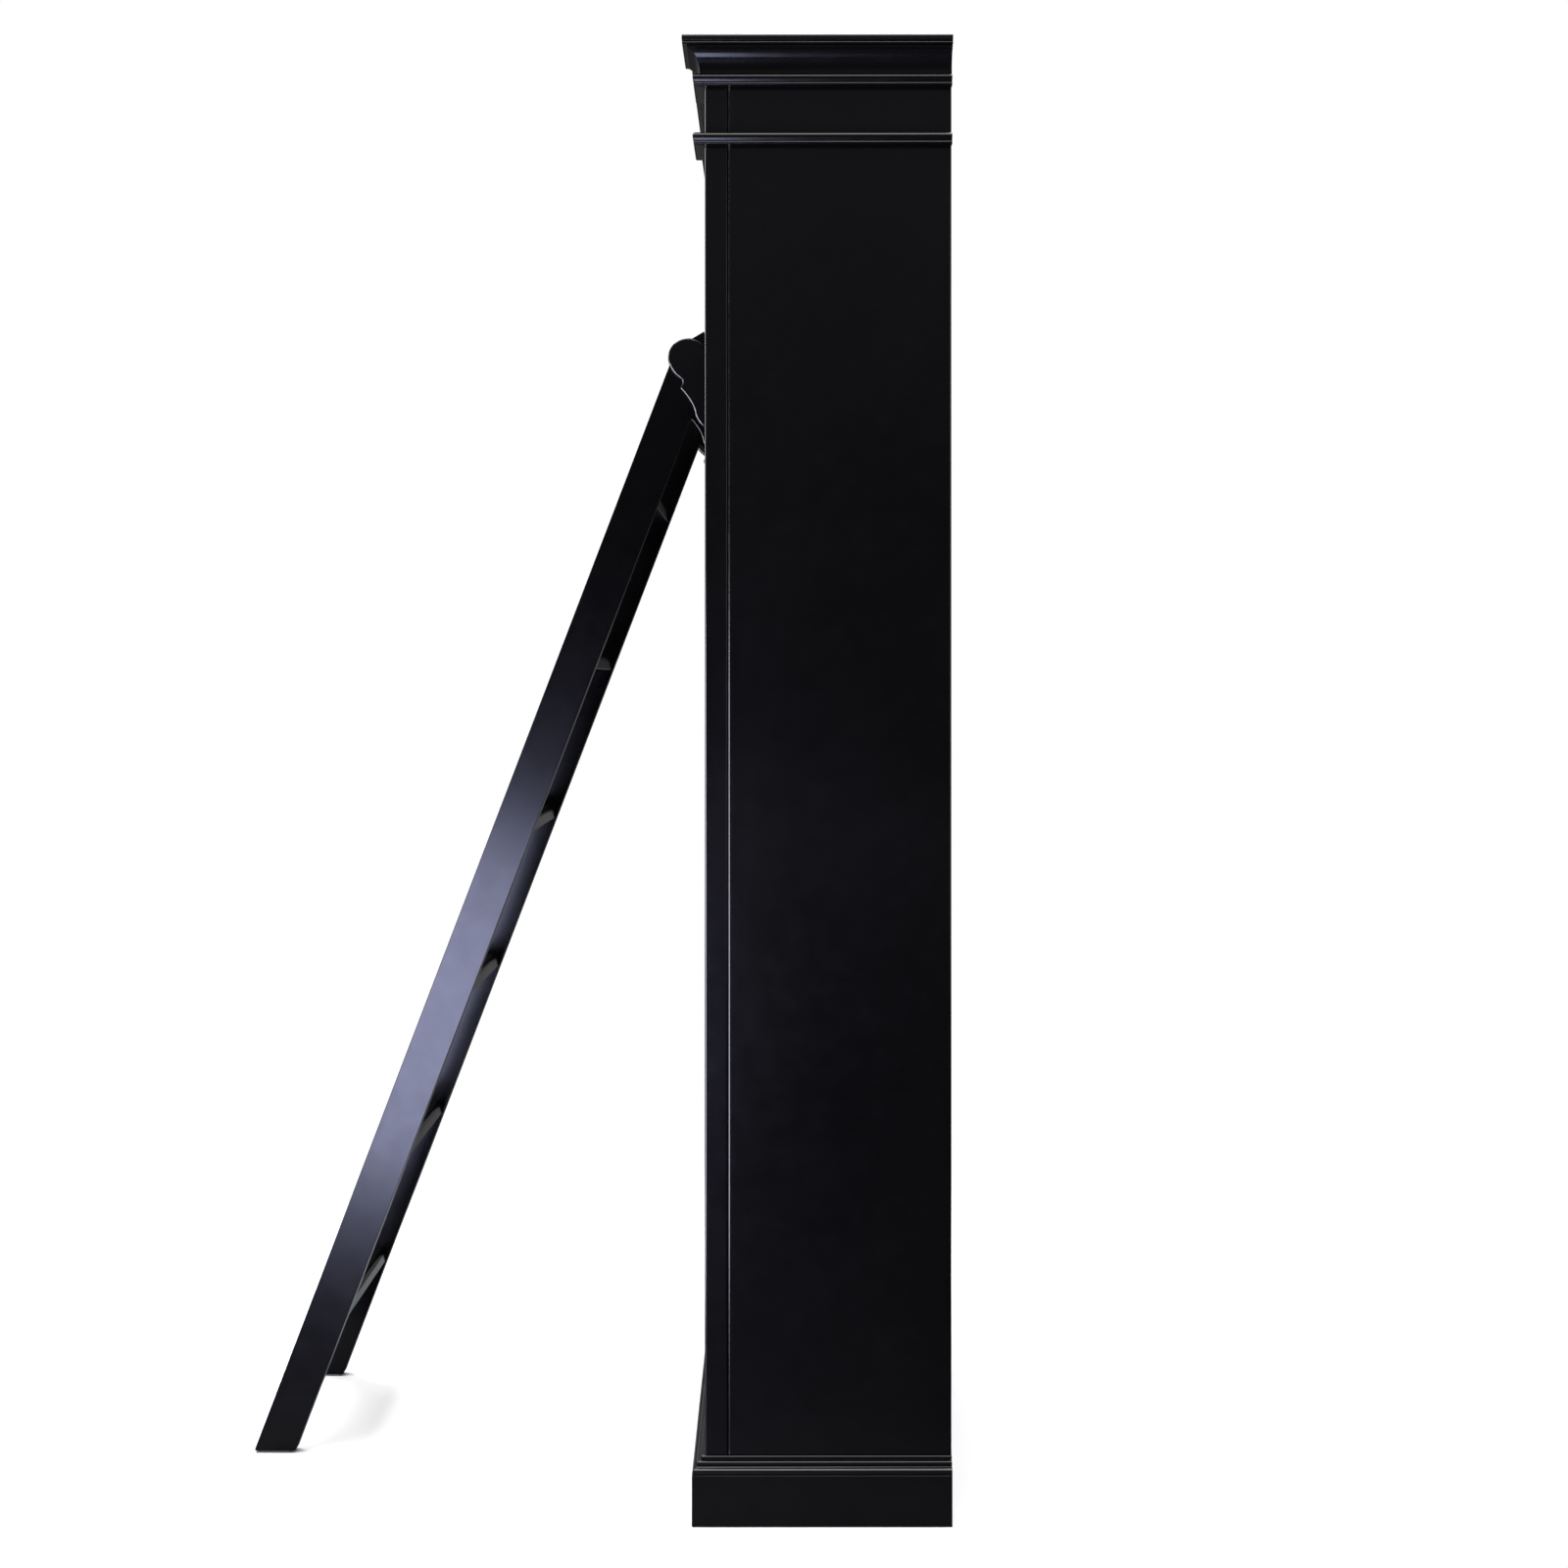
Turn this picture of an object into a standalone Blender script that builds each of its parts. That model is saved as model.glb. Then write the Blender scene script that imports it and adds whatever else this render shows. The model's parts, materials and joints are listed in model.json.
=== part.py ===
"""A tall library bookcase with a hook-on ladder, as separate boards, mouldings and fittings.

Frame: metres, +Z up, the front faces -Y, the width runs along X. The origin is on the floor, at the
middle of the case's footprint, under the plinth's centre bearer.
"""

import math

import bmesh
import bpy
from mathutils import Matrix, Vector

MM = 0.001

# Driving dimensions of the case.
CASE_WIDTH = 1220 * MM
CASE_DEPTH = 355 * MM
TOTAL_HEIGHT = 2134 * MM
HALF_WIDTH = CASE_WIDTH / 2
FRONT = -CASE_DEPTH / 2
BACK = CASE_DEPTH / 2

# Clearance between pieces that touch, and the small rounding that every board's edges have.
GAP = 0.3 * MM
EASED_EDGE = 1.5 * MM
ROUNDED_EDGE = 2.8 * MM

# Boards. The end pilasters stand forward of the front between them by STEP_BACK.
SIDE_THICK = 20 * MM
PILASTER_WIDTH = 80 * MM
STEP_BACK = 9 * MM
FRAME_THICK = 33.5 * MM
CENTRE_STILE_WIDTH = 50 * MM
DIVIDER_THICK = 20 * MM
SHELF_THICK = 22 * MM
BACK_THICK = 6 * MM
SHELF_COUNT = 4
SHELF_CLEARANCE = 0.6 * MM

# Heights of the case's levels above the floor.
PLINTH_TOP = 74 * MM
BASE_TOP = 99 * MM
RAIL_BOARD_BOTTOM = 1565 * MM
RAIL_BOARD_TOP = 1710 * MM
FRIEZE_BOTTOM = 1980 * MM
LOWER_BEAD_TOP = 1997 * MM
UPPER_BEAD_TOP = 2081 * MM
CAP_THICK = 15 * MM
CAP_BOTTOM = TOTAL_HEIGHT - CAP_THICK
CASE_TOP = CAP_BOTTOM - GAP

# How far the mouldings stand out from the case.
CAP_OVERHANG = 32 * MM
COVE_FOOT_REACH = 7 * MM
COVE_REACH = 25 * MM
BEAD_REACH = 17 * MM
BEAD_HEIGHT = 17 * MM
PLINTH_REACH = 18 * MM
BEARER_THICK = 20 * MM

# The ladder's rail, a round bar in front of the case, and the four brackets that carry it.
RAIL_OUT = 25.8 * MM
RAIL_HEIGHT = 1680.6 * MM
RAIL_RADIUS = 11 * MM
BRACKET_THICK = 20 * MM
INNER_BRACKET = 188 * MM
END_BRACKET = 565 * MM
BRACKET_LOBE_RADIUS = 28.7 * MM
BRACKET_BOTTOM = 1578 * MM
RAIL_SOCKET_DEPTH = 12 * MM

# The ladder. Its stiles lean: LEAN is how far they come out for each unit down.
LADDER_MIDDLE = 78 * MM
LADDER_WIDTH = 440 * MM
LADDER_STILE_THICK = 25 * MM
LADDER_STILE_WIDTH = 65.2 * MM
LADDER_FOOT_OUT = 717.5 * MM
LEAN = 0.3826
TREAD_THICK = 22 * MM
TREAD_NOSING = 9 * MM
TREAD_COUNT = 6
FIRST_TREAD = 223 * MM
TREAD_RISE = 257.5 * MM
TREAD_INSET = 2 * MM
TREAD_HOUSING = 6 * MM
PAD_THICK = 3 * MM
PAD_WIDTH = 18 * MM
PAD_INSET = 7 * MM
HEAD_CLEARANCE = 9.5 * MM
HOOK_SLOPE = math.radians(40)
SADDLE_THICK = 3 * MM
SADDLE_WIDTH = 32 * MM

LACQUER = ("black_lacquer", (0.010, 0.010, 0.013), 0.22, 0.0)
DARK_STEEL = ("dark_steel", (0.055, 0.052, 0.050), 0.35, 1.0)
NYLON = ("grey_nylon", (0.11, 0.11, 0.11), 0.5, 0.0)
RUBBER = ("foot_rubber", (0.02, 0.02, 0.02), 0.8, 0.0)

# The line of the case's front and sides, from its left back corner round to its right back corner.
# Each corner has a place and the direction in which a moulding's mitre leaves it.
STEP = HALF_WIDTH - PILASTER_WIDTH
CASE_LINE = [
    ((-HALF_WIDTH, BACK), (-1, 0)),
    ((-HALF_WIDTH, FRONT), (-1, -1)),
    ((-STEP, FRONT), (1, -1)),
    ((-STEP, FRONT + STEP_BACK), (1, -1)),
    ((STEP, FRONT + STEP_BACK), (-1, -1)),
    ((STEP, FRONT), (-1, -1)),
    ((HALF_WIDTH, FRONT), (1, -1)),
    ((HALF_WIDTH, BACK), (1, 0)),
]


def clear_scene():
    for obj in list(bpy.data.objects):
        bpy.data.objects.remove(obj)


def new_collection(name):
    collection = bpy.data.collections.new(name)
    bpy.context.scene.collection.children.link(collection)
    return collection


def material(spec):
    """A Principled material from (name, colour, roughness, metallic), made once."""
    name, colour, roughness, metallic = spec
    found = bpy.data.materials.get(name)
    if found:
        return found
    made = bpy.data.materials.new(name)
    made.use_nodes = True
    shader = made.node_tree.nodes["Principled BSDF"]
    shader.inputs["Base Color"].default_value = (*colour, 1.0)
    shader.inputs["Roughness"].default_value = roughness
    shader.inputs["Metallic"].default_value = metallic
    return made


def add_object(name, mesh, spec):
    obj = bpy.data.objects.new(name, mesh)
    mesh.materials.append(material(spec))
    PARTS.objects.link(obj)
    return obj


def ease_edges(obj, width=EASED_EDGE, segments=2):
    bevel = obj.modifiers.new("eased_edges", "BEVEL")
    bevel.width = width
    bevel.segments = segments
    bevel.limit_method = "ANGLE"
    bevel.angle_limit = math.radians(40)
    return obj


def box_mesh(name, low, high):
    """A box between two corners, centred on its own origin."""
    size = Vector(high) - Vector(low)
    shape = bmesh.new()
    bmesh.ops.create_cube(shape, size=1)
    bmesh.ops.scale(shape, vec=size, verts=shape.verts)
    mesh = bpy.data.meshes.new(name)
    shape.to_mesh(mesh)
    shape.free()
    return mesh


def board(name, low, high, spec=LACQUER, eased=EASED_EDGE, segments=2):
    """A board between two corners, with eased edges."""
    obj = add_object(name, box_mesh(name, low, high), spec)
    obj.location = (Vector(low) + Vector(high)) / 2
    return ease_edges(obj, eased, segments)


def arc(centre, radius, start, end, count):
    """Points on an arc, with its angles in degrees."""
    points = []
    for i in range(count + 1):
        angle = math.radians(start + (end - start) * i / count)
        points.append((centre[0] + radius * math.cos(angle), centre[1] + radius * math.sin(angle)))
    return points


def bezier(start, first, second, end, count):
    """Points after start on a cubic curve, up to and including its end."""
    points = []
    for i in range(1, count + 1):
        t = i / count
        weights = ((1 - t) ** 3, 3 * t * (1 - t) ** 2, 3 * t * t * (1 - t), t**3)
        points.append(
            tuple(sum(w * p[k] for w, p in zip(weights, (start, first, second, end))) for k in range(2))
        )
    return points


def outline_mesh(name, outline, thickness):
    """A flat outline, extruded by thickness about its own plane: a welded mesh in local X and Y."""
    curve = bpy.data.curves.new(name, "CURVE")
    curve.dimensions = "2D"
    curve.fill_mode = "BOTH"
    curve.extrude = thickness / 2
    spline = curve.splines.new("POLY")
    spline.points.add(len(outline) - 1)
    for point, (across, up) in zip(spline.points, outline):
        point.co = (across, up, 0, 1)
    spline.use_cyclic_u = True
    guide = bpy.data.objects.new(name, curve)
    PARTS.objects.link(guide)
    bpy.context.view_layer.update()
    graph = bpy.context.evaluated_depsgraph_get()
    mesh = bpy.data.meshes.new_from_object(guide.evaluated_get(graph))
    bpy.data.objects.remove(guide)
    mesh.name = name
    shape = bmesh.new()
    shape.from_mesh(mesh)
    bmesh.ops.remove_doubles(shape, verts=shape.verts, dist=0.01 * MM)
    flat = [edge for edge in shape.edges if edge.calc_face_angle(1) < math.radians(0.1)]
    bmesh.ops.dissolve_edges(shape, edges=flat, use_verts=False)
    bmesh.ops.recalc_face_normals(shape, faces=shape.faces)
    shape.to_mesh(mesh)
    shape.free()
    mesh.materials.clear()
    return mesh


def side_profile(name, outline, thickness, middle_x, spec=LACQUER):
    """A piece cut from board, seen from the side.

    Its outline's points are (out, up): out from the case's front, and up from the floor.
    """
    mesh = outline_mesh(name, outline, thickness)
    for vertex in mesh.vertices:
        out, up, along = vertex.co
        vertex.co = (along, -out, up)
    obj = add_object(name, mesh, spec)
    obj.location = (middle_x, FRONT, 0)
    flip_if_inside_out(mesh)
    return obj


def flip_if_inside_out(mesh):
    shape = bmesh.new()
    shape.from_mesh(mesh)
    bmesh.ops.recalc_face_normals(shape, faces=shape.faces)
    if shape.calc_volume(signed=True) < 0:
        bmesh.ops.reverse_faces(shape, faces=shape.faces)
    shape.to_mesh(mesh)
    shape.free()


def cut(obj, cutter):
    cutter.hide_render = True
    cutter.display_type = "WIRE"
    boolean = obj.modifiers.new("cut_" + cutter.name, "BOOLEAN")
    boolean.operation = "DIFFERENCE"
    boolean.object = cutter


def line_point(corner, reach, height, shift=(0, 0)):
    """Where a point of a moulding's profile lies at one corner of a line round the case."""
    (x, y), (mitre_x, mitre_y) = corner
    return (x + mitre_x * reach + shift[0], y + mitre_y * reach + shift[1], height)


def loft(name, rings):
    """A closed body through rings of points, all with the same count, with a cap at each end."""
    shape = bmesh.new()
    verts = [[shape.verts.new(point) for point in ring] for ring in rings]
    count = len(rings[0])
    for ring, following in zip(verts, verts[1:]):
        for i in range(count):
            j = (i + 1) % count
            shape.faces.new((ring[i], ring[j], following[j], following[i]))
    shape.faces.new(verts[0])
    shape.faces.new(verts[-1])
    mesh = bpy.data.meshes.new(name)
    shape.to_mesh(mesh)
    shape.free()
    flip_if_inside_out(mesh)
    return add_object(name, mesh, LACQUER)


def moulding_set(name, profile, stepped=True):
    """Three mitred lengths of moulding round the case's front and sides.

    profile is a list of (reach, height): reach is how far a point stands out from the case. A stepped
    moulding breaks forward over the end pilasters.
    """
    front = CASE_LINE[1:-1] if stepped else [CASE_LINE[1], CASE_LINE[-2]]
    rings = []
    for i, corner in enumerate(front):
        inward = GAP if i == 0 else -GAP if i == len(front) - 1 else 0
        rings.append([line_point(corner, r, z, (inward, 0)) for r, z in profile])
    loft(f"{name}_front", rings)
    for word, ends in (("left", (CASE_LINE[1], CASE_LINE[0])), ("right", (CASE_LINE[-2], CASE_LINE[-1]))):
        near = [line_point(ends[0], r, z, (0, GAP)) for r, z in profile]
        far = [line_point(ends[1], r, z) for r, z in profile]
        loft(f"{name}_{word}", [near, far])


def make_carcase():
    behind_frame = FRONT + FRAME_THICK + GAP
    frame_back = FRONT + FRAME_THICK
    for side, word in ((1, "right"), (-1, "left")):
        across = sorted((side * HALF_WIDTH, side * (HALF_WIDTH - SIDE_THICK)))
        low, high = (across[0], behind_frame, 0), (across[1], BACK, CASE_TOP)
        board(f"side_panel_{word}", low, high, eased=ROUNDED_EDGE, segments=3)
        across = sorted((side * HALF_WIDTH, side * STEP))
        low, high = (across[0], FRONT, 0), (across[1], frame_back, CASE_TOP)
        board(f"pilaster_{word}", low, high, eased=ROUNDED_EDGE, segments=3)
    half = STEP - GAP
    recessed = FRONT + STEP_BACK
    board("foot_rail", (-half, FRONT, 0), (half, frame_back, BASE_TOP))
    board("ladder_rail_board", (-half, FRONT, RAIL_BOARD_BOTTOM), (half, frame_back, RAIL_BOARD_TOP))
    board("frieze_board", (-half, recessed, FRIEZE_BOTTOM), (half, frame_back, CASE_TOP))
    for word, low, high in (
        ("lower", BASE_TOP, RAIL_BOARD_BOTTOM),
        ("upper", RAIL_BOARD_TOP, FRIEZE_BOTTOM),
    ):
        half = CENTRE_STILE_WIDTH / 2
        board(f"centre_stile_{word}", (-half, recessed, low + GAP), (half, frame_back, high - GAP))
    back = BACK - BACK_THICK - GAP
    for word, low, high in (
        ("lower", BASE_TOP, RAIL_BOARD_TOP - SHELF_THICK),
        ("upper", RAIL_BOARD_TOP, FRIEZE_BOTTOM),
    ):
        half = DIVIDER_THICK / 2
        board(f"divider_{word}", (-half, behind_frame, low + GAP), (half, back, high - GAP))


def shelf_tops():
    """Heights of the adjustable shelves' top faces, spaced equally below the fixed shelf."""
    clear = RAIL_BOARD_TOP - SHELF_THICK - BASE_TOP - SHELF_COUNT * SHELF_THICK
    bay = clear / (SHELF_COUNT + 1)
    return [BASE_TOP + (bay + SHELF_THICK) * (i + 1) for i in range(SHELF_COUNT)]


def make_shelves():
    half = HALF_WIDTH - SIDE_THICK - GAP
    low_y = FRONT + FRAME_THICK + GAP
    high_y = BACK - BACK_THICK - GAP
    for name, top in (
        ("bottom_panel", BASE_TOP),
        ("fixed_shelf", RAIL_BOARD_TOP),
        ("top_panel", FRIEZE_BOTTOM + SHELF_THICK),
    ):
        board(name, (-half, low_y, top - SHELF_THICK), (half, high_y, top))
    outer = HALF_WIDTH - SIDE_THICK - SHELF_CLEARANCE
    inner = DIVIDER_THICK / 2 + SHELF_CLEARANCE
    for side, word in ((1, "right"), (-1, "left")):
        low_x, high_x = sorted((side * inner, side * outer))
        for i, top in enumerate(shelf_tops()):
            board(
                f"shelf_{word}_{i + 1}",
                (low_x, low_y + SHELF_CLEARANCE, top - SHELF_THICK),
                (high_x, high_y - SHELF_CLEARANCE, top),
            )


def make_back():
    half = HALF_WIDTH - SIDE_THICK - GAP
    low = (-half, BACK - BACK_THICK, PLINTH_TOP + GAP)
    board("back_panel", low, (half, BACK, CASE_TOP), eased=0.5 * MM)


def make_plinth():
    """Three mitred boards round the foot of the case, and the bearers under its bottom panel."""
    face = [
        (GAP, 0),
        (PLINTH_REACH - EASED_EDGE, 0),
        (PLINTH_REACH, EASED_EDGE),
        (PLINTH_REACH, PLINTH_TOP - 1 * MM),
        (PLINTH_REACH - 1 * MM, PLINTH_TOP),
        (GAP, PLINTH_TOP),
    ]
    moulding_set("plinth", face, stepped=False)
    inner = HALF_WIDTH - SIDE_THICK - GAP
    board("plinth_back_bearer", (-inner, BACK - BEARER_THICK, 0), (inner, BACK, PLINTH_TOP))
    front = FRONT + FRAME_THICK + GAP
    back = BACK - BEARER_THICK - GAP
    top = BASE_TOP - SHELF_THICK - GAP
    board("plinth_centre_bearer", (-BEARER_THICK, front, 0), (BEARER_THICK, back, top))


def make_mouldings():
    """The base cap, the two beads, the cove and the slab over them."""
    base = PLINTH_TOP + GAP
    base_cap = (
        [(GAP, base), (16.5 * MM, base), (17.5 * MM, base + 1 * MM)]
        + arc((10.5 * MM, base + 2.2 * MM), 7 * MM, 0, 84, 7)
        + [(10.4 * MM, base + 10.2 * MM)]
        + arc((7.4 * MM, base + 14 * MM), 4 * MM, -50, 62, 7)
        + [(5.2 * MM, base + 18.4 * MM)]
        + arc((3 * MM, base + 21.4 * MM), 2.6 * MM, -50, 70, 5)
        + [(GAP, base + 24.6 * MM)]
    )
    moulding_set("base_cap", base_cap, stepped=False)
    moulding_set("lower_bead", bead_profile(LOWER_BEAD_TOP))
    moulding_set("upper_bead", bead_profile(UPPER_BEAD_TOP))
    top = CAP_BOTTOM - GAP
    foot = UPPER_BEAD_TOP + GAP
    start = (COVE_FOOT_REACH, foot + 4 * MM)
    end = (COVE_REACH, top - 2 * MM)
    cove = [(GAP, foot), (COVE_FOOT_REACH, foot), start]
    cove += bezier(start, (COVE_FOOT_REACH, foot + 20 * MM), (13 * MM, top - 8 * MM), end, 12)
    cove += [(COVE_REACH, top), (GAP, top)]
    moulding_set("cornice_cove", cove)
    make_cap()


def make_cap():
    """The slab on top of the cornice. Its edge has a rounded upper lip over a groove and a lower lip."""
    low = CAP_BOTTOM
    edge = [
        (CAP_OVERHANG - 3 * MM, low),
        (CAP_OVERHANG - 0.8 * MM, low + 0.8 * MM),
        (CAP_OVERHANG - 0.3 * MM, low + 2 * MM),
        (CAP_OVERHANG - 0.8 * MM, low + 3.2 * MM),
        (CAP_OVERHANG - 2.4 * MM, low + 4.2 * MM),
        (CAP_OVERHANG - 1.4 * MM, low + 5.4 * MM),
        (CAP_OVERHANG, low + 6.6 * MM),
    ]
    edge += arc((CAP_OVERHANG - 4.5 * MM, TOTAL_HEIGHT - 4.5 * MM), 4.5 * MM, 0, 90, 5)
    rings = [[line_point(corner, reach, height) for corner in CASE_LINE] for reach, height in edge]
    loft("cornice_cap", rings)


def bead_profile(top):
    """A nosing: a large rounding on top, a quirk, and a narrow rounded fillet below it."""
    bottom = top - BEAD_HEIGHT
    return (
        [(GAP, bottom), (BEAD_REACH - 4.2 * MM, bottom)]
        + arc((BEAD_REACH - 3.6 * MM, bottom + 2.4 * MM), 2.4 * MM, -60, 60, 4)
        + [(BEAD_REACH - 3.2 * MM, bottom + 5.4 * MM)]
        + arc((BEAD_REACH - 5.6 * MM, top - 5.6 * MM), 5.6 * MM, -55, 90, 9)
        + [(GAP, top)]
    )


def bracket_outline():
    """The rail bracket: a round lobe, a neck with a quirk, and an ogee that dies into the case."""
    centre = (RAIL_OUT, RAIL_HEIGHT)
    meets_case = 180 - math.degrees(math.acos((RAIL_OUT - GAP) / BRACKET_LOBE_RADIUS))
    lobe = arc(centre, BRACKET_LOBE_RADIUS, meets_case, -30, 26)
    neck = (RAIL_OUT + 7.8 * MM, RAIL_HEIGHT - 33 * MM)
    quirk = (RAIL_OUT + 7.2 * MM, RAIL_HEIGHT - 35.8 * MM)
    shoulder = (RAIL_OUT + 11.1 * MM, RAIL_HEIGHT - 44.6 * MM)
    waist = (RAIL_OUT - 10.8 * MM, RAIL_HEIGHT - 80.6 * MM)
    outline = list(lobe)
    first = (RAIL_OUT + 22 * MM, RAIL_HEIGHT - 21.1 * MM)
    second = (RAIL_OUT + 15.2 * MM, RAIL_HEIGHT - 27.6 * MM)
    outline += bezier(lobe[-1], first, second, neck, 7)
    outline += [quirk, (RAIL_OUT + 8.8 * MM, RAIL_HEIGHT - 40.1 * MM), shoulder]
    first = (shoulder[0] - 7.4 * MM, shoulder[1] - 7 * MM)
    second = (waist[0] + 1.5 * MM, waist[1] + 12 * MM)
    outline += bezier(shoulder, first, second, waist, 9)
    first = (waist[0] - 0.7 * MM, waist[1] - 5.5 * MM)
    outline += bezier(waist, first, (10 * MM, BRACKET_BOTTOM + 7 * MM), (GAP, BRACKET_BOTTOM), 6)
    return outline


def rail_bar(name, radius, half_length):
    """A round bar on the rail's line, about the middle of the case."""
    bar = bmesh.new()
    bmesh.ops.create_cone(
        bar,
        cap_ends=True,
        segments=32,
        radius1=radius,
        radius2=radius,
        depth=2 * half_length,
    )
    mesh = bpy.data.meshes.new(name)
    bar.to_mesh(mesh)
    bar.free()
    obj = add_object(name, mesh, DARK_STEEL)
    obj.location = (0, FRONT - RAIL_OUT, RAIL_HEIGHT)
    obj.rotation_euler = (0, math.radians(90), 0)
    return obj


def make_rail():
    """The round rail, two brackets that it runs through, and two end brackets with blind sockets."""
    rail_half = END_BRACKET - BRACKET_THICK / 2 + RAIL_SOCKET_DEPTH
    rail_bar("ladder_rail", RAIL_RADIUS, rail_half)
    bore = rail_bar("rail_bore", RAIL_RADIUS + GAP, rail_half + GAP)
    CUTTERS.objects.link(bore)
    PARTS.objects.unlink(bore)
    for name, middle_x in (
        ("inner_right", INNER_BRACKET),
        ("inner_left", -INNER_BRACKET),
        ("end_right", END_BRACKET),
        ("end_left", -END_BRACKET),
    ):
        bracket = side_profile(f"rail_bracket_{name}", bracket_outline(), BRACKET_THICK, middle_x)
        ease_edges(bracket, ROUNDED_EDGE, 3)
        cut(bracket, bore)


def stile_front(height):
    """How far the front edge of a ladder stile stands out from the case at a height."""
    return LADDER_FOOT_OUT - LEAN * height


def stile_back(height):
    return stile_front(height) - LADDER_STILE_WIDTH


def ladder_stile_outline():
    """A leaning stile, level at the foot, with a rounded head and a hook for the rail in its back edge."""
    foot = PAD_THICK + GAP
    notch = RAIL_RADIUS + GAP + SADDLE_THICK + GAP
    centre = Vector((RAIL_OUT, RAIL_HEIGHT))
    opening = Vector((-math.cos(HOOK_SLOPE), -math.sin(HOOK_SLOPE)))
    upper_angle = math.degrees(HOOK_SLOPE) + 90
    closed = arc(centre, notch, upper_angle, upper_angle - 180, 20)
    upper, lower = Vector(closed[0]), Vector(closed[-1])
    lip = upper + opening * ((upper.x - HEAD_CLEARANCE) / -opening.x)
    mouth = lower + opening * ((lower.x - stile_back(lower.y)) / (-opening.x - LEAN * opening.y))
    shoulder = 1736 * MM
    head = 1760 * MM
    outline = [
        (stile_front(foot) - 2.5 * MM, foot),
        (stile_front(foot + 1 * MM) - 0.6 * MM, foot + 1 * MM),
        (stile_front(foot + 3.5 * MM), foot + 3.5 * MM),
        (stile_front(shoulder), shoulder),
    ]
    first = (stile_front(shoulder + 7 * MM), shoulder + 7 * MM)
    outline += bezier(outline[-1], first, (38 * MM, 1745 * MM), (30 * MM, 1748.4 * MM), 7)
    outline += [(HEAD_CLEARANCE + 1 * MM, head), (HEAD_CLEARANCE, head - 1 * MM)]
    outline += [tuple(lip)] + closed + [tuple(mouth)]
    outline += [
        (stile_back(foot + 3.5 * MM), foot + 3.5 * MM),
        (stile_back(foot + 1 * MM) + 0.6 * MM, foot + 1 * MM),
        (stile_back(foot) + 2.5 * MM, foot),
    ]
    return outline


def tread_outline(top, grow):
    """A tread seen from its end, rounded along its top edges, and grown on every side by grow."""
    bottom = top - TREAD_THICK
    far = stile_front(top) - TREAD_INSET
    near = stile_back(bottom) + TREAD_INSET
    high, low = top - TREAD_NOSING, bottom + EASED_EDGE
    return (
        arc((far - TREAD_NOSING, high), TREAD_NOSING + grow, 0, 90, 6)
        + arc((near + TREAD_NOSING, high), TREAD_NOSING + grow, 90, 180, 6)
        + arc((near + EASED_EDGE, low), EASED_EDGE + grow, 180, 270, 3)
        + arc((far - EASED_EDGE, low), EASED_EDGE + grow, 270, 360, 3)
    )


def tread(name, top, grow=0.0):
    length = LADDER_WIDTH - 2 * LADDER_STILE_THICK + 2 * TREAD_HOUSING + 2 * grow
    return side_profile(name, tread_outline(top, grow), length, LADDER_MIDDLE)


def hang(obj, pivot):
    """Parents a placed object to an empty without moving it."""
    obj.parent = pivot
    obj.matrix_parent_inverse = Matrix.Translation(pivot.location).inverted()


def make_ladder():
    """The ladder and its saddles, which hang from an empty on the rail's axis."""
    pivot = bpy.data.objects.new("ladder_pivot", None)
    pivot.location = (LADDER_MIDDLE, FRONT - RAIL_OUT, RAIL_HEIGHT)
    PARTS.objects.link(pivot)
    housings = []
    for i in range(TREAD_COUNT):
        top = FIRST_TREAD + TREAD_RISE * i
        hang(tread(f"ladder_tread_{i + 1}", top), pivot)
        housing = tread(f"tread_housing_{i + 1}", top, GAP)
        PARTS.objects.unlink(housing)
        CUTTERS.objects.link(housing)
        housings.append(housing)
    offset = LADDER_WIDTH / 2 - LADDER_STILE_THICK / 2
    for side, word in ((1, "right"), (-1, "left")):
        middle_x = LADDER_MIDDLE + side * offset
        name = f"ladder_stile_{word}"
        stile = side_profile(name, ladder_stile_outline(), LADDER_STILE_THICK, middle_x)
        ease_edges(stile, ROUNDED_EDGE, 3)
        for housing in housings:
            cut(stile, housing)
        hang(stile, pivot)
        front = FRONT - stile_front(PAD_THICK) + PAD_INSET
        back = FRONT - stile_back(PAD_THICK) - PAD_INSET
        low = (middle_x - PAD_WIDTH / 2, front, 0)
        high = (middle_x + PAD_WIDTH / 2, back, PAD_THICK)
        hang(board(f"ladder_foot_pad_{word}", low, high, RUBBER, 0.6 * MM), pivot)
        hang(make_saddle(f"rail_saddle_{word}", middle_x), pivot)


def make_saddle(name, middle_x):
    """A curved sleeve between the rail and a stile's hook. It covers the rail's top and front."""
    centre = (RAIL_OUT, RAIL_HEIGHT)
    inner = RAIL_RADIUS + GAP
    outer = inner + SADDLE_THICK
    outline = arc(centre, outer, 125, -45, 18) + arc(centre, inner, -45, 125, 18)
    return side_profile(name, outline, SADDLE_WIDTH, middle_x, NYLON)


def shade_round():
    for obj in PARTS.objects:
        if obj.type == "MESH":
            obj.data.shade_smooth()
            obj.data.set_sharp_from_angle(angle=math.radians(35))


clear_scene()
PARTS = new_collection("library_bookcase")
CUTTERS = new_collection("cutters")
make_carcase()
make_shelves()
make_back()
make_plinth()
make_mouldings()
make_rail()
make_ladder()
shade_round()
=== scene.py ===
"""The looks of the library bookcase and its ladder: black lacquer, fittings, light and camera."""

import json
import math

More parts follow.
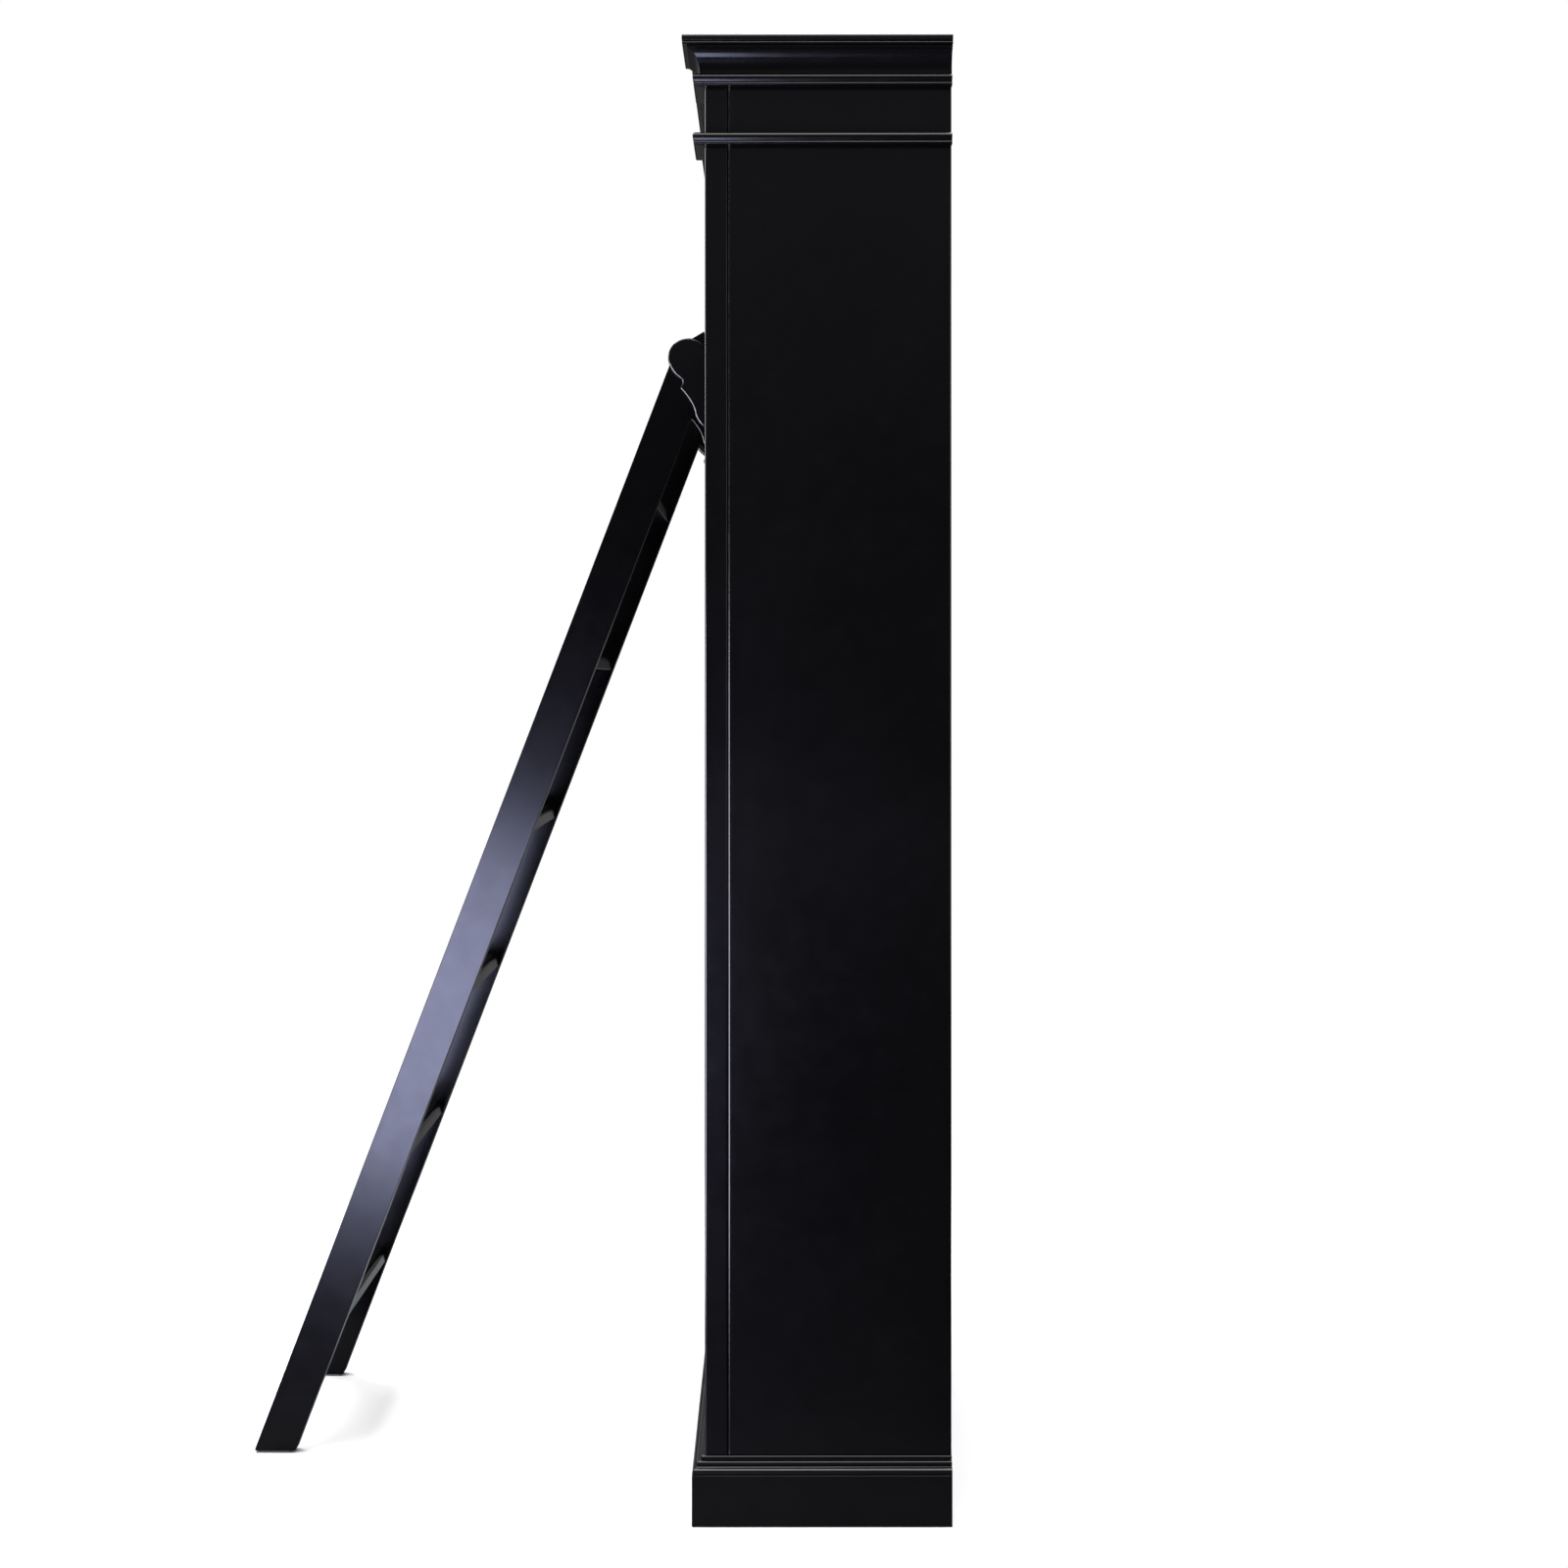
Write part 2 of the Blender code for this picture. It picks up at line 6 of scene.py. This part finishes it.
import bmesh
import bpy
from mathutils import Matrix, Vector


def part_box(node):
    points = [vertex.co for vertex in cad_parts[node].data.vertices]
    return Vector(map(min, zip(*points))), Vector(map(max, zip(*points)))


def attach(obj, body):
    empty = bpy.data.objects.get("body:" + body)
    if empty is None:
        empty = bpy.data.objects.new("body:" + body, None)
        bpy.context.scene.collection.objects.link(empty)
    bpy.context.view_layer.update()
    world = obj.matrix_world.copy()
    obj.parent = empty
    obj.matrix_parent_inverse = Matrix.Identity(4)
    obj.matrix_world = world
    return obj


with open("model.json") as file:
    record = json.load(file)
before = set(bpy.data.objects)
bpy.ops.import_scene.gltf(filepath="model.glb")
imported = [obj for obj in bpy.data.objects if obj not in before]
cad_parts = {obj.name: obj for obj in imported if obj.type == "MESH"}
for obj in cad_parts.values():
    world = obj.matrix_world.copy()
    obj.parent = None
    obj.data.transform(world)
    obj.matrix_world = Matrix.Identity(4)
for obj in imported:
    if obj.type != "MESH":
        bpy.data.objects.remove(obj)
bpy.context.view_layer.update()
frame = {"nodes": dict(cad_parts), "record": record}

MM = 0.001
NODES = frame["nodes"]
SIDE_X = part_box("side_panel_right")[1].x
FRONT_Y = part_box("pilaster_right")[0].y

# The camera stands level with the case's near side, square on to it.
CAMERA_DISTANCE = 3.416
CAMERA_HEIGHT = 1.205
CAMERA_BEHIND_FRONT = 0.100
LENS = 54.54
SENSOR_WIDTH = 36.0
SHIFT = (0.00625, -0.0631)

# The floor is an ellipse whose edge fades. What the lacquer reflects of it is darker.
FLOOR_CENTRE = (-0.35, -0.35)
FLOOR_REACH = (1.6, 1.7)
FLOOR_PALE = (0.90, 0.90, 0.90, 1.0)
FLOOR_REFLECTED = (0.16, 0.17, 0.18, 1.0)
FLOOR_FADE = (0.45, 1.0)
FLOOR_DROP = 0.2 * MM

# The dim room that the lacquer reflects, brighter from the height at which its ceiling starts.
ROOM_COLOUR = (0.95, 0.91, 1.0, 1.0)
ROOM_DIM, ROOM_BRIGHT = 0.05, 0.28
ROOM_CLIMB = (0.08, 0.25)
LAVENDER = (0.63, 0.66, 1.0)
PALE_LAVENDER = (0.80, 0.82, 1.0)


def add(name, data):
    obj = bpy.data.objects.new(name, data)
    bpy.context.scene.collection.objects.link(obj)
    return obj


# ---------------------------------------------------------------- node helpers


class Tree:
    """A short way to make and link shader nodes."""

    def __init__(self, owner):
        owner.use_nodes = True
        self.nodes = owner.node_tree.nodes
        self.links = owner.node_tree.links

    def new(self, kind, settings=None, **inputs):
        node = self.nodes.new(kind)
        for key, value in (settings or {}).items():
            setattr(node, key, value)
        for key, value in inputs.items():
            self.plug(node.inputs[key.replace("_", " ")], value)
        return node

    def plug(self, socket, value):
        if isinstance(value, bpy.types.NodeSocket):
            self.links.new(value, socket)
        else:
            socket.default_value = value

    def noise(self, vector, scale, detail=2.0, roughness=0.5):
        node = self.new("ShaderNodeTexNoise", Vector=vector, Scale=scale)
        self.plug(node.inputs["Detail"], detail)
        self.plug(node.inputs["Roughness"], roughness)
        return node.outputs["Fac"]

    def stretched(self, vector, scale):
        return self.new("ShaderNodeMapping", Vector=vector, Scale=scale).outputs["Vector"]

    def ranged(self, value, low, high, from_low=0.3, from_high=0.7):
        """Maps one range to another. A noise lies mostly between the usual from_low and from_high."""
        node = self.new("ShaderNodeMapRange", Value=value)
        for key, number in (
            ("From Min", from_low),
            ("From Max", from_high),
            ("To Min", low),
            ("To Max", high),
        ):
            node.inputs[key].default_value = number
        return node.outputs["Result"]

    def mixed(self, factor, first, second):
        node = self.new("ShaderNodeMix", {"data_type": "RGBA"})
        self.plug(node.inputs[0], factor)
        self.plug(node.inputs[6], first)
        self.plug(node.inputs[7], second)
        return node.outputs[2]

    def bump(self, height, distance, strength=1.0, under=None):
        node = self.new("ShaderNodeBump", Height=height, Distance=distance, Strength=strength)
        if under is not None:
            self.plug(node.inputs["Normal"], under)
        return node.outputs["Normal"]


def new_material(name):
    material = bpy.data.materials.new(name)
    tree = Tree(material)
    shader = tree.nodes["Principled BSDF"]
    place = tree.new("ShaderNodeTexCoord").outputs["Object"]
    return material, tree, shader, place


# ---------------------------------------------------------------- materials

LACQUER_BLACK = (0.0006, 0.0005, 0.0006, 1.0)
LACQUER_WORN_BLACK = (0.0012, 0.0011, 0.0012, 1.0)
LACQUER_IN_PORES = (0.0004, 0.0004, 0.0005, 1.0)
LACQUER_ROUGHNESS = (0.165, 0.19)
LACQUER_HANDLING = (-0.015, 0.02)
LACQUER_IOR = 1.5
LACQUER_SPECULAR = 0.27

# How many of the wood's pores there are in a metre, along the grain and across it.
ALONG_GRAIN, ACROSS_GRAIN = 14.0, 420.0


def lacquer(name, axis):
    """Satin black lacquer on wood whose grain runs along an axis: 0, 1 or 2 for X, Y or Z."""
    material, tree, shader, place = new_material(name)
    cloud = tree.noise(place, 2.6, 3.0)
    fine_cloud = tree.noise(place, 31.0, 4.0, 0.6)
    grain = [ALONG_GRAIN if i == axis else ACROSS_GRAIN for i in range(3)]
    pores = tree.noise(tree.stretched(place, grain), 1.0, 3.0, 0.6)
    peel = tree.noise(place, 620.0, 1.0)
    wave = tree.noise(place, 7.0, 1.0)

    colour = tree.mixed(tree.ranged(cloud, 0.0, 1.0), LACQUER_BLACK, LACQUER_WORN_BLACK)
    colour = tree.mixed(tree.ranged(pores, 0.0, 0.35, 0.58, 0.75), colour, LACQUER_IN_PORES)
    tree.plug(shader.inputs["Base Color"], colour)

    roughness = tree.new("ShaderNodeMath", {"operation": "ADD"})
    tree.plug(roughness.inputs[0], tree.ranged(cloud, *LACQUER_ROUGHNESS))
    tree.plug(roughness.inputs[1], tree.ranged(fine_cloud, *LACQUER_HANDLING))
    tree.plug(shader.inputs["Roughness"], roughness.outputs[0])

    normal = tree.bump(wave, 0.25 * MM, 0.35)
    normal = tree.bump(pores, 0.05 * MM, 0.09, normal)
    normal = tree.bump(peel, 0.02 * MM, 0.07, normal)
    tree.plug(shader.inputs["Normal"], normal)
    shader.inputs["IOR"].default_value = LACQUER_IOR
    shader.inputs["Specular IOR Level"].default_value = LACQUER_SPECULAR
    return material


STEEL_DARK, STEEL_PALE = (0.050, 0.047, 0.045, 1.0), (0.085, 0.080, 0.076, 1.0)
NYLON_DARK, NYLON_PALE = (0.085, 0.085, 0.088, 1.0), (0.13, 0.13, 0.13, 1.0)
RUBBER_BLACK, RUBBER_DUST = (0.014, 0.014, 0.014, 1.0), (0.06, 0.058, 0.055, 1.0)


def brushed_steel():
    """Dark steel, brushed along X."""
    material, tree, shader, place = new_material("rail_dark_steel")
    lines = tree.noise(tree.stretched(place, (12.0, 900.0, 900.0)), 1.0, 3.0)
    stain = tree.noise(place, 26.0, 4.0)
    colour = tree.mixed(tree.ranged(stain, 0.0, 1.0), STEEL_DARK, STEEL_PALE)
    tree.plug(shader.inputs["Base Color"], colour)
    tree.plug(shader.inputs["Roughness"], tree.ranged(lines, 0.28, 0.44))
    tree.plug(shader.inputs["Normal"], tree.bump(lines, 0.02 * MM, 0.3))
    shader.inputs["Metallic"].default_value = 1.0
    return material


def nylon():
    """Grey nylon, a little scuffed."""
    material, tree, shader, place = new_material("glide_grey_nylon")
    grit = tree.noise(place, 900.0, 2.0)
    wear = tree.noise(place, 60.0, 3.0)
    colour = tree.mixed(tree.ranged(wear, 0.0, 1.0), NYLON_DARK, NYLON_PALE)
    tree.plug(shader.inputs["Base Color"], colour)
    tree.plug(shader.inputs["Roughness"], tree.ranged(grit, 0.42, 0.6))
    tree.plug(shader.inputs["Normal"], tree.bump(grit, 0.05 * MM, 0.3))
    return material


def rubber():
    """Black rubber with dust on it."""
    material, tree, shader, place = new_material("foot_black_rubber")
    grit = tree.noise(place, 1400.0, 3.0)
    dust = tree.noise(place, 70.0, 4.0, 0.7)
    colour = tree.mixed(tree.ranged(dust, 0.0, 0.5, 0.5, 0.8), RUBBER_BLACK, RUBBER_DUST)
    tree.plug(shader.inputs["Base Color"], colour)
    tree.plug(shader.inputs["Roughness"], tree.ranged(dust, 0.7, 0.9))
    tree.plug(shader.inputs["Normal"], tree.bump(grit, 0.1 * MM, 0.5))
    return material


# ---------------------------------------------------------------- carried-over nodes

WELD_DISTANCE = 0.01 * MM
SHARP_ANGLE = math.radians(47)


def smooth_group():
    """Geometry nodes that weld a faceted piece and shade it smooth, apart from its real edges."""
    group = bpy.data.node_groups.new("weld_and_smooth", "GeometryNodeTree")
    group.interface.new_socket("Geometry", in_out="INPUT", socket_type="NodeSocketGeometry")
    group.interface.new_socket("Geometry", in_out="OUTPUT", socket_type="NodeSocketGeometry")
    nodes, links = group.nodes, group.links
    source, target = nodes.new("NodeGroupInput"), nodes.new("NodeGroupOutput")
    plain = nodes.new("GeometryNodeRemoveAttribute")
    plain.inputs["Name"].default_value = "custom_normal"
    weld = nodes.new("GeometryNodeMergeByDistance")
    weld.inputs["Distance"].default_value = WELD_DISTANCE
    faces = nodes.new("GeometryNodeSetShadeSmooth")
    faces.domain = "FACE"
    edges = nodes.new("GeometryNodeSetShadeSmooth")
    edges.domain = "EDGE"
    edges.inputs["Shade Smooth"].default_value = False
    angle = nodes.new("GeometryNodeInputMeshEdgeAngle")
    sharp = nodes.new("FunctionNodeCompare")
    sharp.operation = "GREATER_THAN"
    sharp.inputs["B"].default_value = SHARP_ANGLE
    links.new(angle.outputs["Unsigned Angle"], sharp.inputs["A"])
    links.new(sharp.outputs["Result"], edges.inputs["Selection"])
    chain = (source, plain, weld, faces, edges, target)
    for before, after in zip(chain, chain[1:]):
        links.new(before.outputs[0], after.inputs[0])
    return group


LACQUERS = [lacquer(f"black_lacquer_grain_{word}", axis) for axis, word in enumerate("xyz")]
BY_SLOT = {"rail_steel": brushed_steel(), "glide_nylon": nylon(), "foot_rubber": rubber()}
SLOTS = {part["node"]: part["material_slot"] for part in frame["record"]["subparts"]}


def lacquer_along(low, high):
    """The lacquer whose grain runs along the longest side of a box."""
    size = high - low
    return LACQUERS[max(range(3), key=lambda i: size[i])]


def dress_nodes():
    """Gives each node that the frame carries over its material, and smooths it."""
    group = smooth_group()
    for name, obj in NODES.items():
        material = BY_SLOT.get(SLOTS[name]) or lacquer_along(*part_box(name))
        obj.data.materials.clear()
        obj.data.materials.append(material)
        obj.modifiers.new("weld_and_smooth", "NODES").node_group = group
        flat = obj.modifiers.new("flat_faces", "WEIGHTED_NORMAL")
        flat.keep_sharp = True
        flat.weight = 100


# ---------------------------------------------------------------- shelf fittings

SIDE_THICK = 20 * MM
BAY_FACE = SIDE_X - SIDE_THICK
SHELVES_IN_A_BAY = 4
FIT = 0.3 * MM
PIN_DROP = FIT + 2.5 * MM
PIN_INSET = 37 * MM
SLEEVE_STEP = 32 * MM
SLEEVES_EACH_WAY = 3

# Profiles in millimetres, turned about a line that leaves a panel's face: how far each point is from
# the line, and how far it is out from the face.
PIN_PROFILE = [(0, 0.1), (2.3, 0.1), (2.3, 8.2), (1.9, 8.9), (1.3, 9.2), (0, 9.2)]
SLEEVE_PROFILE = [(2.6, 0.05), (2.6, 0.35), (2.9, 0.55), (3.8, 0.55), (4.2, 0.05)]
TURNED_SIDES = 24
TURNED_SHARP_ANGLE = math.radians(40)


def pin_spots(word):
    """Where the pins under one bay's shelves leave the panels, and the way that each points."""
    low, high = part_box("divider_lower")
    faces = (high.x, BAY_FACE) if word == "right" else (low.x, -BAY_FACE)
    spots = []
    for i in range(1, SHELVES_IN_A_BAY + 1):
        low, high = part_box(f"shelf_{word}_{i}")
        for face in faces:
            way = 1 if (low.x + high.x) / 2 > face else -1
            for y in (low.y + PIN_INSET, high.y - PIN_INSET):
                spots.append((Vector((face, y, low.z - PIN_DROP)), way))
    return spots


def turned(shape, profile, place, way):
    """Adds a closed body turned about a line that leaves place along X."""
    rings = []
    for i in range(TURNED_SIDES):
        angle = 2 * math.pi * i / TURNED_SIDES
        ring = []
        for radius, out in profile:
            aside = Vector((0, math.cos(angle), math.sin(angle))) * radius * MM
            ring.append(shape.verts.new(place + aside + Vector((way * out * MM, 0, 0))))
        rings.append(ring)
    for ring, after in zip(rings, rings[1:] + rings[:1]):
        for j, (radius, _) in enumerate(profile):
            k = (j + 1) % len(profile)
            if radius or profile[k][0]:
                shape.faces.new((ring[j], ring[k], after[k], after[j]))


def make_shelf_fittings():
    """The steel pins under the adjustable shelves, and the lips of the sleeved holes near each pin."""
    for word in ("right", "left"):
        pins, sleeves = bmesh.new(), bmesh.new()
        for place, way in pin_spots(word):
            turned(pins, PIN_PROFILE, place, way)
            for step in range(1, SLEEVES_EACH_WAY + 1):
                for height in (-step * SLEEVE_STEP, (step + 1) * SLEEVE_STEP):
                    turned(sleeves, SLEEVE_PROFILE, place + Vector((0, 0, height)), way)
        for name, shape in ((f"shelf_pins_{word}", pins), (f"pin_sleeves_{word}", sleeves)):
            bmesh.ops.remove_doubles(shape, verts=shape.verts, dist=0.001 * MM)
            bmesh.ops.recalc_face_normals(shape, faces=shape.faces)
            mesh = bpy.data.meshes.new(name)
            shape.to_mesh(mesh)
            shape.free()
            mesh.shade_smooth()
            mesh.set_sharp_from_angle(angle=TURNED_SHARP_ANGLE)
            mesh.materials.append(BY_SLOT["rail_steel"])
            piece = add(name, mesh)
            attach(piece, "case")


# ---------------------------------------------------------------- floor, light and camera


def make_floor():
    """A plain pale floor whose far edge fades out."""
    mesh = bpy.data.meshes.new("floor")
    shape = bmesh.new()
    bmesh.ops.create_circle(shape, cap_ends=True, radius=1.0, segments=96)
    shape.to_mesh(mesh)
    shape.free()
    floor = add("floor", mesh)
    floor.location = (*FLOOR_CENTRE, -FLOOR_DROP)
    floor.scale = (*FLOOR_REACH, 1)
    material, tree, shader, place = new_material("pale_floor")
    glossy = tree.new("ShaderNodeLightPath").outputs["Is Glossy Ray"]
    tree.plug(shader.inputs["Base Color"], tree.mixed(glossy, FLOOR_PALE, FLOOR_REFLECTED))
    shader.inputs["Roughness"].default_value = 0.9
    shader.inputs["Specular IOR Level"].default_value = 0.1
    distance = tree.new("ShaderNodeVectorMath", {"operation": "LENGTH"})
    tree.plug(distance.inputs[0], place)
    fade = tree.new("ShaderNodeMapRange", {"interpolation_type": "SMOOTHSTEP"})
    tree.plug(fade.inputs["Value"], distance.outputs["Value"])
    fade.inputs["From Min"].default_value, fade.inputs["From Max"].default_value = FLOOR_FADE
    fade.inputs["To Min"].default_value, fade.inputs["To Max"].default_value = 1.0, 0.0
    tree.plug(shader.inputs["Alpha"], fade.outputs["Result"])
    mesh.materials.append(material)


def make_world():
    """White behind everything that the camera sees, and a dim room in what the lacquer reflects."""
    world = bpy.data.worlds.new("studio")
    bpy.context.scene.world = world
    tree = Tree(world)
    tree.nodes.clear()
    direction = tree.new("ShaderNodeTexCoord").outputs["Generated"]
    height = tree.new("ShaderNodeSeparateXYZ", Vector=direction).outputs["Z"]
    strength = tree.ranged(height, ROOM_DIM, ROOM_BRIGHT, *ROOM_CLIMB)
    room = tree.new("ShaderNodeBackground", Color=ROOM_COLOUR, Strength=strength)
    white = tree.new("ShaderNodeBackground", Color=(1.0, 1.0, 1.0, 1.0), Strength=1.0)
    path = tree.new("ShaderNodeLightPath")
    mix = tree.new("ShaderNodeMixShader")
    tree.plug(mix.inputs[0], path.outputs["Is Camera Ray"])
    tree.links.new(room.outputs[0], mix.inputs[1])
    tree.links.new(white.outputs[0], mix.inputs[2])
    target = tree.new("ShaderNodeOutputWorld")
    tree.links.new(mix.outputs[0], target.inputs["Surface"])


# Where each soft light is, where it points, its width and height, its radiance and its colour. Overhead
# lights the floor and the tops of the mouldings. Low left is what the ladder's side reflects, left is the
# line along the groove, under cornice is in the cove, and front edges the pilaster. Far side is what the
# treads' back edges reflect, and behind is for the back panel.
WHITE = (1.0, 1.0, 1.0)
CAMERA_X = SIDE_X + CAMERA_DISTANCE
LIGHTS = {
    "overhead": ((-0.4, -0.6, 5.0), (-0.4, -0.6, 0), (7.5, 4.2), 8.5, WHITE),
    "far_side": ((-5.2, 0.25, -0.25), (0, -0.4, 0.6), (2.0, 2.8), 0.11, WHITE),
    "low_left": ((CAMERA_X, -1.17, 0.19), (0.3, -0.6, 0.8), (0.80, 1.10), 21.5, LAVENDER),
    "left": ((2.5, -3.0, 0.42), (0.6, -0.2, 0.8), (3.4, 1.9), 27.0, PALE_LAVENDER),
    "right": ((3.3, 2.2, 1.5), (0.4, -0.2, 1.2), (1.0, 2.2), 4.0, WHITE),
    "under_cornice": ((1.9, -0.50, 0.03), (2.4, -0.50, 0.896), (0.6, 1.9), 15.0, LAVENDER),
    "front": ((0.4, -4.5, 1.9), (0, 0, 1.1), (2.6, 3.0), 14.0, WHITE),
    "behind": ((-1.2, 4.2, 1.4), (0, 0, 1.1), (3.0, 2.4), 1.2, WHITE),
}


def soft_light(name, place, target, size, radiance, colour):
    """A rectangular soft light of a given brightness per area."""
    data = bpy.data.lights.new(name, "AREA")
    data.shape = "RECTANGLE"
    data.size, data.size_y = size
    data.energy = radiance * math.pi * size[0] * size[1]
    data.color = colour
    light = add(name, data)
    light.location = place
    light.rotation_euler = (Vector(target) - Vector(place)).to_track_quat("-Z", "Y").to_euler()
    light.visible_camera = False
    return light


def keep_off(light, objects):
    """Lets a light fall on everything but some objects."""
    receivers = bpy.data.collections.new(light.name + "_receivers")
    for obj in objects:
        receivers.objects.link(obj)
    for link in receivers.collection_objects:
        link.light_linking.link_state = "EXCLUDE"
    light.light_linking.receiver_collection = receivers


def make_lights():
    """The soft lights. Three leave no shadow on the floor, and two stay off the ladder's edges."""
    lights = {name: soft_light(name, *facts) for name, facts in LIGHTS.items()}
    floor = bpy.data.objects["floor"]
    stiles = [NODES["ladder_stile_left"], NODES["ladder_stile_right"]]
    keep_off(lights["low_left"], [floor])
    keep_off(lights["left"], [floor, *stiles])
    keep_off(lights["front"], [floor, *stiles])


def make_camera():
    data = bpy.data.cameras.new("camera")
    data.lens = LENS
    data.sensor_width = SENSOR_WIDTH
    data.shift_x, data.shift_y = SHIFT
    camera = add("camera", data)
    camera.location = (CAMERA_X, FRONT_Y + CAMERA_BEHIND_FRONT, CAMERA_HEIGHT)
    camera.rotation_euler = (math.radians(90), 0, math.radians(90))
    bpy.context.scene.camera = camera


dress_nodes()
make_shelf_fittings()
make_floor()
make_world()
make_lights()
make_camera()
bpy.context.scene.view_settings.view_transform = "Standard"
